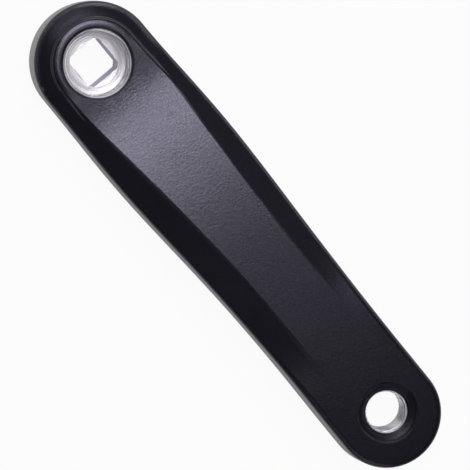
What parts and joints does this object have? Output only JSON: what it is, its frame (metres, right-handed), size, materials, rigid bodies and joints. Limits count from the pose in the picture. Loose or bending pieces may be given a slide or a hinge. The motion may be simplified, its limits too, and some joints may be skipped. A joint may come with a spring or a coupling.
{
  "type": "bicycle crank arm",
  "caption": "Forged black crank arm with a square tapered axle socket inside a threaded puller bore at one end and a threaded pedal hole at the other.",
  "frame": {"origin": "on the axle's centre line, at the back face of the axle boss", "axes": "+X runs along the arm from the axle to the pedal hole, +Z points outward, away from the bicycle, along the axle"},
  "size_m": [0.1925, 0.0423, 0.0346],
  "materials": {
    "black_finish": "satin",
    "bare_metal": "satin"
  },
  "bodies": {
    "root": {"crank_arm": "black_finish"}
  },
  "joints": []
}
